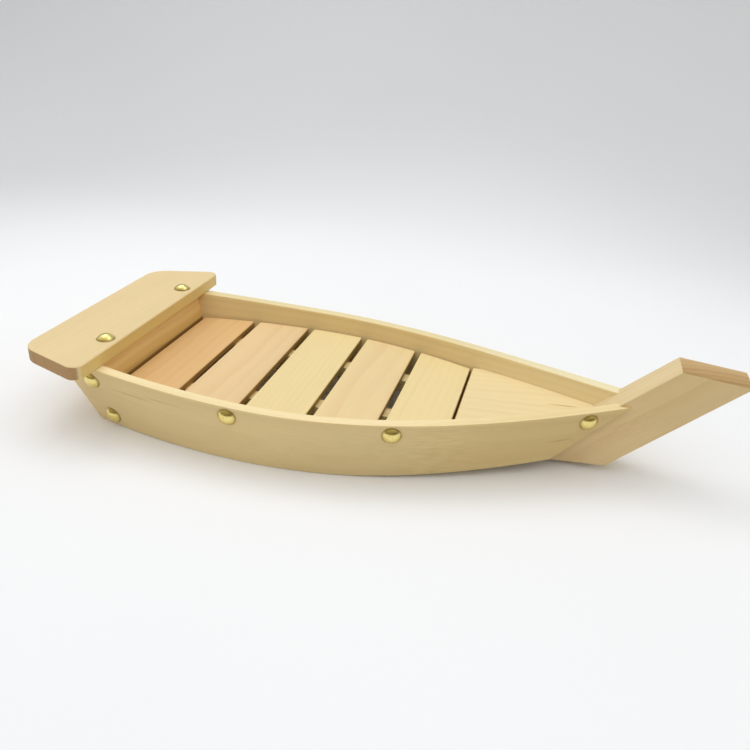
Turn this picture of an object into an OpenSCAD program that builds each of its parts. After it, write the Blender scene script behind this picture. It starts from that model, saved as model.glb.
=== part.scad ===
// Wooden serving boat: two bent side planks nailed to a leaning transom and a raked stem, a plate over
// the stern, a fixed bow deck, and a slatted grate that lies loose between the planks.
// The lines are drawn from the deck: X runs from the transom to the bow, Y to port, and Z is the height
// above the slats. Each piece is then moved to the middle of the boat's length and down to the table.

/* [Hull lines] */
// Half breadth between the planks at the widest station
wide_half = 71.4; // [60:0.2:80]
// Widest station, measured forward of the transom
wide_station = 90; // [80:1:100]
// Half breadth that the hull loses from the widest station to the transom
stern_narrowing = 7; // [2:0.2:14]
// Run from the widest station to where the planks would meet
bow_run = 211; // [190:1:232]
// Height of the plank's top edge above the slats at its lowest station
sheer_low = 11.1; // [9:0.1:14]
// Lowest station of the top edge
sheer_station = 132; // [115:1:145]
// Rise of the top edge towards the bow
sheer_bow_rise = 8.1; // [5:0.1:11]
// Rise of the top edge towards the stern
sheer_stern_rise = 4.4; // [3:0.1:7]
// Outward lean of the planks at the transom, per unit of height
flare_stern = 0.3; // [0.15:0.01:0.36]
// Outward lean of the planks amidships, per unit of height
flare_mid = 0.18; // [0.08:0.01:0.26]
// Outward lean of the planks where they would meet, per unit of height
flare_bow = 0.33; // [0.24:0.01:0.4]

/* [Side planks] */
// Thickness of a side plank
plank_thick = 7; // [5:0.1:9]
// Height of a side plank at the widest station
plank_height = 38; // [34:0.5:44]
// Height that a side plank loses towards the bow
plank_taper = 7.4; // [3:0.1:9]
// Height that a side plank gains towards the transom
plank_gain = 3.6; // [0:0.1:4]
// Length of plank behind the transom's inner face, taken under the slats, at slat height
plank_tail = 24.8; // [20:0.2:28]
// Backward lean of the plank's aft end, per unit of height
plank_tail_lean = 0.42; // [0.2:0.02:0.5]

/* [Transom and stern plate] */
// Thickness of the transom
transom_thick = 11; // [9:0.5:13]
// Backward lean of the transom, in degrees
transom_lean = 18; // [10:1:22]
// Clearance between the transom's lower edge and the plank's lower edge
transom_lift = 1.5; // [0:0.5:4]
// Thickness of the stern plate
plate_thick = 8.5; // [6:0.5:12]
// Distance of the plate's front edge behind the transom's inner face, taken under the slats
plate_setback = 1.2; // [0.4:0.2:3]
// Depth of the plate from its front edge to its rear edge
plate_depth = 46.6; // [36:0.2:56]
// Half length of the plate along its front edge
plate_front_half = 90; // [82:0.5:100]
// Half length of the plate where its slanted ends would meet the rear edge
plate_rear_half = 72; // [62:0.5:80]
// Radius of the plate's front corners
plate_front_corner = 6; // [3:0.5:10]
// Radius of the plate's rear corners
plate_rear_corner = 16; // [8:0.5:20]

/* [Stem] */
// Thickness of the stem
stem_thick = 21.4; // [18:0.2:26]
// Thickness of the stem that is left between the two plank ends, at slat height
stem_core = 17; // [14:0.2:19]
// Width between the planks where the bow deck meets the stem
tip_width = 19.4; // [17:0.2:21]
// Width of the stem at its foot, square to its length
stem_width = 28.4; // [24:0.2:32]
// Width that the stem loses from its foot to its top
stem_taper = 1.4; // [0:0.2:4]
// Rake of the stem above the deck, in degrees
stem_rake = 43; // [38:0.5:48]
// Height of the stem's top edge above the slats
stem_rise = 44.2; // [36:0.2:52]
// Forward fall of the stem's top cut, in degrees
stem_top_fall = 5; // [0:1:15]
// Depth of the stem's foot below the slats, at its front edge
stem_foot = 21.3; // [17:0.1:22]
// Forward rise of the stem's foot, in degrees
stem_foot_rise = 5; // [3:0.5:7]

/* [Deck] */
// Width of a slat, along the boat
slat_width = 36.2; // [30:0.1:38]
// Gap between two slats
slat_gap = 4.2; // [2:0.1:7]
// Thickness of a slat
slat_thick = 4.5; // [4:0.5:8]
// Clearance between a slat's end and the plank, at the slat's lower face
slat_end_gap = 0.7; // [0.4:0.1:2]
// Clearance of the grate to the transom's inner face and to the bow deck
grate_gap = 1.3; // [0.8:0.1:2.5]
// Width of a batten under the slats
batten_width = 10; // [7:0.5:14]
// Height of a batten
batten_height = 8; // [5:0.5:10]
// Distance of a batten's middle from the centre line, at the aft end
batten_aft_y = 39.5; // [30:0.5:45]
// Distance of a batten's middle from the centre line, at the forward end
batten_fore_y = 20.5; // [15:0.5:26]
// Thickness of the bow deck
bow_deck_thick = 7; // [5:0.5:9]
// Height of the bow deck above the slats, at its aft edge
bow_deck_step = 1.2; // [0:0.1:3]
// Height of the bow deck above the slats, at the stem
bow_deck_rise = 6.4; // [3:0.1:9]
// Cut on each aft corner of the bow deck
bow_deck_corner = 2.5; // [1:0.1:4]
// Depth to which the bow deck's tip is housed in the stem
tip_housing = 4; // [2:0.5:6]
// Width of the ledges that carry the grate
ledge_width = 9; // [6:0.5:12]
// Height of the ledges
ledge_height = 7; // [4:0.5:8]
// Width of the beam under the bow deck's aft edge
beam_width = 10; // [7:0.5:14]

/* [Tacks and brads] */
// Diameter of a brass tack's domed head
tack_head = 11; // [8:0.2:13]
// Height of a tack's dome
tack_dome = 3.2; // [2:0.1:4.5]
// Thickness of the dome's metal
tack_metal = 0.8; // [0.5:0.1:1.2]
// Diameter of a tack's shank
tack_shank = 2; // [1.4:0.1:2.6]
// Depth of a long tack's shank below its head
tack_long = 12; // [10:0.2:13]
// Depth of a short tack's shank, which stays inside the plank
tack_short = 5.5; // [4:0.1:6]
// Distance of the side tacks' middle below the plank's top edge
tack_drop = 6.6; // [6:0.1:9]
// Station of the aft side tack
side_tack_aft = 82; // [60:1:100]
// Station of the forward side tack
side_tack_fore = 172; // [150:1:190]
// Height of the upper transom tack above the slats
transom_tack_high = 6.5; // [4:0.5:9]
// Depth of the lower transom tack below the slats
transom_tack_low = 18; // [12:0.5:19]
// Distance of the transom tacks in front of the transom's middle
transom_tack_ahead = 1.8; // [0:0.1:2]
// Distance of the plate tacks from the centre line
plate_tack_y = 47; // [35:0.5:55]
// Distance of the plate tacks in front of the middle of the transom's top
plate_tack_ahead = 2.6; // [0:0.1:3]
// Distance of the bow tack from the plank's front end
bow_tack_in = 12.5; // [8:0.5:16]
// Diameter of a brad
brad_shank = 1.4; // [1:0.1:1.8]
// Diameter of a brad's head
brad_head = 3; // [2.4:0.1:4]
// Length of a brad that enters the slat
brad_bite = 3; // [2:0.1:3.5]

/* [Fits] */
// Glue line between a piece and the planks it stands against
glue_line = 0.2; // [0.1:0.05:0.4]
// Clearance under a tack's head
tack_seat = 0.06; // [0.02:0.01:0.1]
// Clearance round a shank in its hole
shank_fit = 0.1; // [0.05:0.05:0.2]
// Depth to which the hull's lower edge is planed flat where it stands
rest_flat = 0.5; // [0.3:0.1:0.8]

/* [Hidden] */
$fn = 48;
port = 1;
starboard = -1;
slat_count = 5;
// Sections and rows of the lofted planks, and stations of shorter curved edges
sections = 44;
rows = 3;
edge_steps = 6;
// Step with which the slope of a face is taken
probe = glue_line;
// The planks lose little height amidships and more near the bow
taper_power = 1.5;

pale = [0.93, 0.84, 0.63];
straw = [0.94, 0.85, 0.65];
pinkish = [0.91, 0.79, 0.61];
honey = [0.85, 0.70, 0.47];
shaded = [0.75, 0.60, 0.38];
brass = [0.80, 0.66, 0.30];
steel = [0.72, 0.72, 0.74];

// Hull lines
meet = wide_station + bow_run;
stern_turn = acos(1 - stern_narrowing / wide_half);
function past(x, from, run) = max(0, (x - from) / run);
function half_breadth(x) = x > wide_station
    ? wide_half * cos(90 * (x - wide_station) / bow_run)
    : wide_half * cos(stern_turn * (wide_station - x) / wide_station);
function flare(x) = flare_mid
    + (flare_bow - flare_mid) * pow(past(x, wide_station, bow_run), 2)
    + (flare_stern - flare_mid) * pow(past(-x, -wide_station, wide_station), 2);
function sheer(x) = sheer_low
    + sheer_bow_rise * pow(past(x, sheer_station, meet - sheer_station), 2)
    + sheer_stern_rise * pow(past(-x, -sheer_station, sheer_station), 2);
function bottom(x) = sheer(x) - plank_height
    + plank_taper * pow(past(x, wide_station, bow_run), taper_power)
    - plank_gain * pow(past(-x, -wide_station, wide_station), 2);
function inner(x, z) = half_breadth(x) - flare(x) * (sheer(x) - z);
function slope(x, z) = (inner(x + probe, z) - inner(x - probe, z)) / (2 * probe);
function wall(x, z) = plank_thick * sqrt(1 + pow(slope(x, z), 2) + pow(flare(x), 2));
function outer(x, z) = inner(x, z) + wall(x, z);
// Station at which the planks' inner faces are as far apart as wanted, at height z, by halving
function station(half, z, low = wide_station, high = meet, step = 24) = step == 0
    ? (low + high) / 2
    : inner((low + high) / 2, z) > half
        ? station(half, z, (low + high) / 2, high, step - 1)
        : station(half, z, low, (low + high) / 2, step - 1);
// Point on the line between two points, at a share of the way
function between(a, b, share) = a + (b - a) * share;

// Stern
lean_run = tan(transom_lean);
plate_front = -plate_setback;
plate_seat = sheer(plate_front);
transom_low = bottom(0) + transom_lift;
function transom_fore(z) = -lean_run * (z + slat_thick);
function transom_aft(z) = transom_fore(z) - transom_thick / cos(transom_lean);
function transom_middle(z) = (transom_fore(z) + transom_aft(z)) / 2;
function plank_top(x) = x < wide_station ? min(sheer(x), plate_seat) : sheer(x);

// Stem, in side view
tip_x = station(tip_width / 2, bow_deck_rise);
rake_run = 1 / tan(stem_rake);
stem_depth = stem_width / sin(stem_rake);
stem_thinning = stem_taper / sin(stem_rake) / (stem_rise + stem_foot);
function stem_aft(z) = tip_x + (z - bow_deck_rise) * rake_run;
function stem_fore(z) = stem_aft(z) + stem_depth - stem_thinning * (z + stem_foot);
top_run = tan(stem_top_fall);
top_depth = stem_fore(stem_rise) - stem_aft(stem_rise);
top_drop = top_run * top_depth / (1 + top_run * (rake_run - stem_thinning));
stem_tip = [stem_fore(stem_rise - top_drop), stem_rise - top_drop];
foot = [stem_fore(-stem_foot), -stem_foot];
foot_run = tan(stem_foot_rise);
heel_drop = foot_run * stem_depth / (1 - foot_run * rake_run);
heel = [stem_aft(-stem_foot - heel_drop), -stem_foot - heel_drop];
plank_front = station(stem_core / 2, 0);
rabbet_from = past(heel[0] - stem_width, -plank_tail, plank_front + plank_tail);

// Where the boat stands: the table meets the lowest stretch of the planks, planed flat
table = min([for (x = [0 : 5 : tip_x]) bottom(x)]) + rest_flat;
middle = (plate_front - plate_depth + stem_tip[0]) / 2;

// Deck
grate_start = grate_gap;
slat_pitch = slat_width + slat_gap;
grate_end = grate_start + slat_count * slat_pitch - slat_gap;
bow_deck_aft = grate_end + grate_gap;
batten_low = -slat_thick - batten_height;
batten_aft = transom_fore(batten_low) + grate_gap;
batten_fore = grate_end;
batten_run = batten_fore - batten_aft;
batten_turn = atan((batten_fore_y - batten_aft_y) / batten_run);
ledge_low = batten_low - ledge_height;
function batten_y(x) = between(batten_aft_y, batten_fore_y, (x - batten_aft) / batten_run);
function bow_deck_top(x) = between(bow_deck_step, bow_deck_rise, (x - bow_deck_aft) / (tip_x - bow_deck_aft));

// Moves a piece from the deck's lines to the place where it stands
module placed() {
    translate([-middle, 0, -table])
        children();
}

// Closed solid through a list of rings with the same number of points, ends capped
module loft(rings) {
    count = len(rings[0]);
    last = len(rings) - 1;
    sides = [for (i = [0 : last - 1]) for (k = [0 : count - 1])
        let (a = i * count + k, b = i * count + (k + 1) % count)
        each [[a, b, b + count], [a, b + count, a + count]]];
    aft_cap = [[for (k = [count - 1 : -1 : 0]) k]];
    fore_cap = [[for (k = [0 : count - 1]) last * count + k]];
    polyhedron([for (ring = rings) each ring], concat(aft_cap, sides, fore_cap));
}

// Side plank as a loft of slanted sections: they lean backward aft and rake with the stem at the bow.
// skin moves the inner face in, cover the outer face out, over the front end forward; from is the share
// of the length at which the loft starts.
function section_lean(share) = rake_run * pow(share, 3) - plank_tail_lean * pow(1 - share, 3);
function section_x(share, z, over) =
    between(-plank_tail, plank_front + over, share) + section_lean(share) * z;
function section_top(share, over, x, step = 3) = step == 0
    ? plank_top(x)
    : section_top(share, over, section_x(share, plank_top(x), over), step - 1);
function section_low(share, over, x, step = 3) = step == 0
    ? bottom(x)
    : section_low(share, over, section_x(share, bottom(x), over), step - 1);
function plank_ring(share, skin, cover, over) =
    let (start = section_x(share, 0, over))
    let (top = section_top(share, over, start))
    let (low = section_low(share, over, start))
    let (heights = [for (k = [0 : rows]) between(low, top, k / rows)])
    concat(
        [for (z = heights) let (x = section_x(share, z, over)) [x, inner(x, z) - skin, z]],
        [for (k = [rows : -1 : 0]) let (z = heights[k], x = section_x(share, z, over))
            [x, outer(x, z) + cover, z]]);
module plank_loft(skin = 0, cover = 0, over = 0, from = 0) {
    loft([for (i = [ceil(from * sections) : sections]) plank_ring(i / sections, skin, cover, over)]);
}

// Sets its child on a plank's outer face, with +Z along the outward normal
module on_plank(side, x, z) {
    along = (outer(x + probe, z) - outer(x - probe, z)) / (2 * probe);
    upward = (outer(x, z + probe) - outer(x, z - probe)) / (2 * probe);
    translate([x, side * outer(x, z), z])
        rotate([0, atan2(norm([1, along]), -upward), atan2(side, -along)])
            translate([0, 0, tack_seat])
                children();
}

// Brass tack: a hollow dome on a round shank, with its rim at z = 0
dome_radius = (pow(tack_head / 2, 2) + pow(tack_dome, 2)) / (2 * tack_dome);
dome_angle = asin(tack_head / 2 / dome_radius);
dome_steps = 8;
module tack(shank) {
    dome = [for (i = [0 : dome_steps]) let (a = dome_angle * (1 - i / dome_steps))
        [dome_radius * sin(a), dome_radius * (cos(a) - cos(dome_angle))]];
    hollow = tack_head / 2 - tack_metal;
    rotate_extrude()
        polygon(concat(dome, [[0, -shank], [tack_shank / 2, -shank + tack_shank], [tack_shank / 2, 0],
            [tack_shank / 2, tack_dome - 2 * tack_metal], [hollow / 2, tack_dome - 2 * tack_metal],
            [hollow, 0]]));
}
module tack_hole(shank) {
    translate([0, 0, -shank - shank_fit])
        cylinder(d = tack_shank + 2 * shank_fit, h = shank + shank_fit + plank_thick);
}

// Places of the tacks on one side
module at_transom_tacks(side) {
    for (z = [transom_tack_high, -transom_tack_low])
        on_plank(side, transom_middle(z) + transom_tack_ahead, z)
            children();
}
module at_side_tacks(side) {
    bow = section_x(1, sheer(plank_front) - tack_drop, 0) - bow_tack_in;
    for (x = [side_tack_aft, side_tack_fore, bow])
        on_plank(side, x, sheer(x) - tack_drop)
            children();
}
module at_plate_tacks() {
    for (side = [port, starboard])
        translate([transom_middle(plate_seat) + plate_tack_ahead, side * plate_tack_y,
            plate_seat + plate_thick])
            children();
}

// Everything below the table
module under_table() {
    translate([-meet, -meet, table - plank_height])
        cube([3 * meet, 2 * meet, plank_height]);
}

// Side planks
module side_plank(side) {
    placed()
        difference() {
            if (side == port) plank_loft();
            else mirror([0, 1, 0]) plank_loft();
            under_table();
            at_transom_tacks(side) tack_hole(tack_long);
            at_side_tacks(side) tack_hole(tack_short);
        }
}
module port_plank() {
    color(pale)
        side_plank(port);
}
module starboard_plank() {
    color(pale)
        side_plank(starboard);
}

// Cross piece from plank to plank, with its ends cut to the planks' inner faces
module cross_piece(low, high, aft_low, aft_high, fore_low, fore_high) {
    loft([for (i = [0 : rows])
        let (z = between(low, high, i / rows))
        let (aft = between(aft_low, aft_high, i / rows), fore = between(fore_low, fore_high, i / rows))
        let (aft_half = inner(aft, z) - glue_line, fore_half = inner(fore, z) - glue_line)
        [[aft, -aft_half, z], [aft, aft_half, z], [fore, fore_half, z], [fore, -fore_half, z]]]);
}

// Stern
module transom() {
    color(shaded)
        placed()
            difference() {
                cross_piece(transom_low, plate_seat, transom_aft(transom_low), transom_aft(plate_seat),
                    transom_fore(transom_low), transom_fore(plate_seat));
                for (side = [port, starboard])
                    at_transom_tacks(side) tack_hole(tack_long);
                at_plate_tacks() tack_hole(tack_long);
            }
}
module plate_outline() {
    slant = (plate_front_half - plate_rear_half) / plate_depth;
    hull()
        for (side = [port, starboard]) {
            translate([plate_front - plate_front_corner,
                side * (plate_front_half - plate_front_corner * (1 + slant))])
                circle(plate_front_corner);
            translate([plate_front - plate_depth + plate_rear_corner,
                side * (plate_rear_half + plate_rear_corner * (slant - 1))])
                circle(plate_rear_corner);
        }
}
module stern_plate() {
    color(pale)
        placed()
            difference() {
                translate([0, 0, plate_seat])
                    linear_extrude(plate_thick)
                        plate_outline();
                at_plate_tacks() tack_hole(tack_long);
            }
}

// Stem, with a rabbet for each plank end and a mortise for the bow deck's tip
module stem_post() {
    color(honey)
        placed()
            difference() {
                rotate([90, 0, 0])
                    linear_extrude(stem_thick, center = true)
                        polygon([heel, [stem_aft(stem_rise), stem_rise], stem_tip, foot]);
                plank_loft(glue_line, stem_thick, glue_line, rabbet_from);
                mirror([0, 1, 0])
                    plank_loft(glue_line, stem_thick, glue_line, rabbet_from);
                bow_deck_loft(glue_line);
                under_table();
            }
}

// Bow deck, which rises to the stem and has its sides cut to the planks; grow leaves room for it in the stem
module bow_deck_loft(grow = 0) {
    full = bow_deck_aft + 2 * bow_deck_corner;
    stations = concat([bow_deck_aft], [for (i = [0 : edge_steps])
        between(full, tip_x + tip_housing + grow, i / edge_steps)]);
    loft([for (x = stations)
        let (high = bow_deck_top(x) + grow, low = high - bow_deck_thick - 2 * grow)
        let (cut = glue_line - grow + (x < full ? bow_deck_corner : 0))
        let (high_half = inner(x, high) - cut, low_half = inner(x, low) - cut)
        [[x, -low_half, low], [x, -high_half, high], [x, high_half, high], [x, low_half, low]]]);
}
module bow_deck() {
    color(straw)
        placed()
            bow_deck_loft();
}
module bow_beam() {
    fore = bow_deck_aft + beam_width;
    color(shaded)
        placed()
            cross_piece(ledge_low, bow_deck_step - bow_deck_thick, bow_deck_aft, bow_deck_aft, fore, fore);
}

// Ledges that carry the grate
module aft_ledge() {
    color(shaded)
        placed()
            difference() {
                cross_piece(ledge_low, batten_low, transom_fore(ledge_low), transom_fore(batten_low),
                    transom_fore(batten_low) + ledge_width, transom_fore(batten_low) + ledge_width);
                for (side = [port, starboard])
                    at_transom_tacks(side) tack_hole(tack_long);
            }
}
module fore_ledge() {
    aft = bow_deck_aft - ledge_width;
    color(shaded)
        placed()
            cross_piece(ledge_low, batten_low, aft, aft, bow_deck_aft, bow_deck_aft);
}

// Grate
function slat_aft(n) = grate_start + (n - 1) * slat_pitch;
function slat_middle(n) = slat_aft(n) + slat_width / 2;
module deck_slat(n, tone) {
    ends = [for (i = [0 : edge_steps]) let (x = slat_aft(n) + slat_width * i / edge_steps)
        [x, inner(x, -slat_thick) - slat_end_gap]];
    mirrored = [for (i = [edge_steps : -1 : 0]) [ends[i][0], -ends[i][1]]];
    color(tone)
        placed()
            difference() {
                translate([0, 0, -slat_thick])
                    linear_extrude(slat_thick)
                        polygon(concat(ends, mirrored));
                for (side = [port, starboard])
                    at_brad(side, n) brad_hole();
            }
}
module deck_slat_1() { deck_slat(1, honey); }
module deck_slat_2() { deck_slat(2, pinkish); }
module deck_slat_3() { deck_slat(3, straw); }
module deck_slat_4() { deck_slat(4, straw); }
module deck_slat_5() { deck_slat(5, straw); }
module batten(side) {
    color(straw)
        placed()
            difference() {
                translate([batten_aft, side * batten_aft_y, batten_low])
                    rotate([0, 0, side * batten_turn])
                        translate([0, -batten_width / 2, 0])
                            cube([batten_run, batten_width, batten_height]);
                for (n = [1 : slat_count])
                    at_brad(side, n) brad_hole();
            }
}
module batten_port() { batten(port); }
module batten_starboard() { batten(starboard); }

// Brads, driven up through the battens into the slats
brad_length = batten_height + brad_bite;
brad_head_height = brad_shank / 2;
module at_brad(side, n) {
    translate([slat_middle(n), side * batten_y(slat_middle(n)), batten_low])
        children();
}
module brad_hole() {
    cylinder(d = brad_shank + 2 * shank_fit, h = brad_length + shank_fit);
    translate([0, 0, -shank_fit])
        cylinder(d = brad_head + 2 * shank_fit, h = brad_head_height + 2 * shank_fit);
}
module brad() {
    cylinder(d = brad_shank, h = brad_length);
    cylinder(d = brad_head, h = brad_head_height);
}
module slat_brads() {
    color(steel)
        placed()
            for (side = [port, starboard])
                for (n = [1 : slat_count])
                    at_brad(side, n) brad();
}

// Tacks
module plate_tacks() {
    color(brass)
        placed()
            at_plate_tacks() tack(tack_long);
}
module transom_tacks() {
    color(brass)
        placed()
            for (side = [port, starboard])
                at_transom_tacks(side) tack(tack_long);
}
module side_tacks() {
    color(brass)
        placed()
            for (side = [port, starboard])
                at_side_tacks(side) tack(tack_short);
}

port_plank();
starboard_plank();
transom();
stern_plate();
stem_post();
bow_deck();
bow_beam();
aft_ledge();
fore_ledge();
deck_slat_1();
deck_slat_2();
deck_slat_3();
deck_slat_4();
deck_slat_5();
batten_port();
batten_starboard();
plate_tacks();
transom_tacks();
side_tacks();
slat_brads();
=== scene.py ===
"""Wooden serving boat: bent side planks, raked stem, overhanging stern plate and a lift-out slatted grate."""
import math

import bmesh
import bpy
from mathutils import Color, Matrix, Vector


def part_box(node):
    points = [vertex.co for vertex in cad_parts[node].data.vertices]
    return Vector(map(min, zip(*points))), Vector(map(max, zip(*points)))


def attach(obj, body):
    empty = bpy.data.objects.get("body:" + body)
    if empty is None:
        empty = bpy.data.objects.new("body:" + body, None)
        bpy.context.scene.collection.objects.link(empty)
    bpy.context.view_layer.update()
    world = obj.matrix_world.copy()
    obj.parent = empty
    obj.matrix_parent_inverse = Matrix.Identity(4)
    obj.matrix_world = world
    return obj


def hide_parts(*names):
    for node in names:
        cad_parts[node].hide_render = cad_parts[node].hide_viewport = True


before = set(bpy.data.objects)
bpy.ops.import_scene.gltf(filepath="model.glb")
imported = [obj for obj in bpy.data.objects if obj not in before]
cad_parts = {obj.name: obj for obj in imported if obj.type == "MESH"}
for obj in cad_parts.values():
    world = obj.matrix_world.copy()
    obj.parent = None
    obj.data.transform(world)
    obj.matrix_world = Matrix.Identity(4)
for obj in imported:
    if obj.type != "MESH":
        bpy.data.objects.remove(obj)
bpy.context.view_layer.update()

bl_info = {
    "name": "Wooden Serving Boat",
    "version": (1, 0, 0),
    "blender": (4, 5, 0),
    "location": "3D View > Sidebar > Serving Boat",
    "description": "Makes the boards, brass tacks and finishes of a wooden serving boat round its frame",
    "category": "Mesh",
}

IMAGE_SIDE = 750
PORT = 1.0
STARBOARD = -1.0
SLATS = ["deck_slat_1", "deck_slat_2", "deck_slat_3", "deck_slat_4", "deck_slat_5"]
# Height of the slats' upper faces above the table
DECK_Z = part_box("deck_slat_3")[1].z
# Height of the stern plate's underside above the slats
PLATE_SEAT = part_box("stern_plate")[0].z - DECK_Z
# Gap between the transom, the slats and the bow deck
GRATE_GAP = 0.0013
# Place of the transom's foot at the level of the slats' undersides, along the boat
TRANSOM_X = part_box("deck_slat_1")[0].x - GRATE_GAP
# Share of the wood's colour left by the painted shade in the joints at both ends of the grate
JOINT_SHADE = (0.4, 0.32, 0.2)


def paint(red, green, blue):
    """Colour as it looks on a screen, in steps of 255, turned into a linear colour."""
    return tuple(Color((red / 255, green / 255, blue / 255)).from_srgb_to_scene_linear())


def length(name, description, default):
    """Size in metres that a user can change."""
    return bpy.props.FloatProperty(
        name=name, description=description, default=default, unit="LENGTH", precision=5)


def ratio(name, description, default):
    """Plain number that a user can change."""
    return bpy.props.FloatProperty(name=name, description=description, default=default, precision=4)


def angle(name, description, degrees):
    """Angle that a user can change."""
    return bpy.props.FloatProperty(
        name=name, description=description, default=math.radians(degrees), subtype="ANGLE")


def tone(name, description, default):
    """Colour that a user can change."""
    return bpy.props.FloatVectorProperty(
        name=name, description=description, default=default, subtype="COLOR", size=3, min=0, max=1)


class HullLines(bpy.types.PropertyGroup):
    """Lines of the hull, measured from the transom's foot and from the slats' upper faces."""
    wide_half: length("Half breadth", "Widest half breadth between the planks at their top edges", 0.0714)
    wide_station: length("Widest station", "Distance of the widest place from the transom", 0.09)
    stern_narrowing: length("Stern narrowing", "Loss of half breadth towards the transom", 0.007)
    bow_run: length("Bow run", "Distance from the widest place to where the planks' lines meet", 0.211)
    sheer_low: length("Low sheer", "Height of the top edge above the slats at its lowest place", 0.0111)
    sheer_station: length("Low sheer station", "Distance of the lowest top edge from the transom", 0.132)
    sheer_bow_rise: length("Bow rise", "Rise of the top edge towards the bow", 0.0081)
    sheer_stern_rise: length("Stern rise", "Rise of the top edge towards the stern", 0.0044)
    flare_stern: ratio("Stern flare", "Outward slope of the planks at the transom", 0.3)
    flare_mid: ratio("Middle flare", "Outward slope of the planks at the widest place", 0.18)
    flare_bow: ratio("Bow flare", "Outward slope of the planks at the bow", 0.33)
    plank_thick: length("Plank thickness", "Thickness of a side plank", 0.007)
    plank_height: length("Plank height", "Height of a side plank at the widest place", 0.038)
    plank_taper: length("Plank taper", "Loss of height towards the bow", 0.0074)
    plank_gain: length("Plank gain", "Gain of height towards the stern", 0.0036)
    plank_tail: length("Plank tail", "Length of the planks behind the transom's foot", 0.0248)
    plank_tail_lean: ratio("Plank tail lean", "Backward slope of the planks' aft ends", 0.42)
    stem_rake: angle("Stem rake", "Rake of the stem, which the planks' front ends follow", 43)
    transom_run: ratio("Transom lean", "Backward slope of the transom", math.tan(math.radians(18)))
    slat_thick: length("Slat thickness", "Thickness of a deck slat", 0.0045)


class BoardSizes(bpy.types.PropertyGroup):
    """Sizes of the boards that stand between the planks, and how far their edges are eased."""
    transom_thick: length("Transom thickness", "Thickness of the transom", 0.011)
    slat_end_gap: length("Slat end gap", "Gap between a slat's end and the plank", 0.0007)
    glue_line: length("Glue line", "Gap between a board and the planks it stands against", 0.0002)
    bow_deck_thick: length("Bow deck thickness", "Thickness of the bow deck", 0.007)
    bow_deck_step: length("Bow deck step", "Height of the bow deck's aft edge above the slats", 0.0012)
    bow_deck_rise: length("Bow deck rise", "Height of the bow deck's tip above the slats", 0.0064)
    bow_deck_corner: length("Bow deck corner", "Width of the corners cut off the bow deck's aft edge", 0.0025)
    tip_housing: length("Tip housing", "Length of the bow deck's tip inside the stem", 0.004)
    stem_core: length("Stem core", "Thickness of the stem between its rabbets at the planks' ends", 0.017)
    plate_front_half: length("Plate front half", "Half breadth of the stern plate at its front edge", 0.09)
    plate_rear_half: length("Plate rear half", "Half breadth of the stern plate at its rear edge", 0.072)
    plate_front_corner: length("Plate front corner", "Radius of the stern plate's front corners", 0.006)
    plate_rear_corner: length("Plate rear corner", "Radius of the stern plate's rear corners", 0.016)
    eased_edge: length("Eased edge", "Width of the sanded round on the boards' edges", 0.0006)
    slat_edge: length("Slat edge", "Width of the sanded round on the slats' edges", 0.001)
    plate_edge: length("Plate edge", "Width of the sanded round on the stern plate's edges", 0.001)


class TackSizes(bpy.types.PropertyGroup):
    """Brass tacks and their places."""
    head: length("Head", "Diameter of a tack's domed head", 0.011)
    dome: length("Dome", "Height of a tack's dome", 0.0032)
    metal: length("Metal", "Thickness of the dome's metal", 0.0008)
    shank: length("Shank", "Diameter of a tack's shank", 0.002)
    depth: length("Depth", "Depth of the shank below the head", 0.005)
    seat: length("Seat", "Clearance under a tack's head", 0.00006)
    drop: length("Drop", "Distance of the side tacks below the plank's top edge", 0.0066)
    side_aft: length("Aft side tack", "Station of the aft side tack", 0.082)
    side_fore: length("Forward side tack", "Station of the forward side tack", 0.172)
    bow_in: length("Bow tack", "Distance of the bow tack from the plank's front end", 0.0125)
    transom_high: length("Upper transom tack", "Height of the upper transom tack above the slats", 0.0065)
    transom_low: length("Lower transom tack", "Depth of the lower transom tack below the slats", 0.018)
    transom_ahead: length("Transom tack ahead", "Way of these tacks ahead of the transom's middle", 0.0018)
    plate_out: length("Plate tack", "Distance of the plate tacks from the centre line", 0.047)
    plate_ahead: length("Plate tack ahead", "Way of the plate tacks ahead of the transom's middle", 0.0026)
    lean: angle("Lean", "Most that a hand-driven tack leans", 2.5)
    seed: bpy.props.IntProperty(name="Seed", description="Seed of the tacks' turns and leans", default=7)


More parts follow.
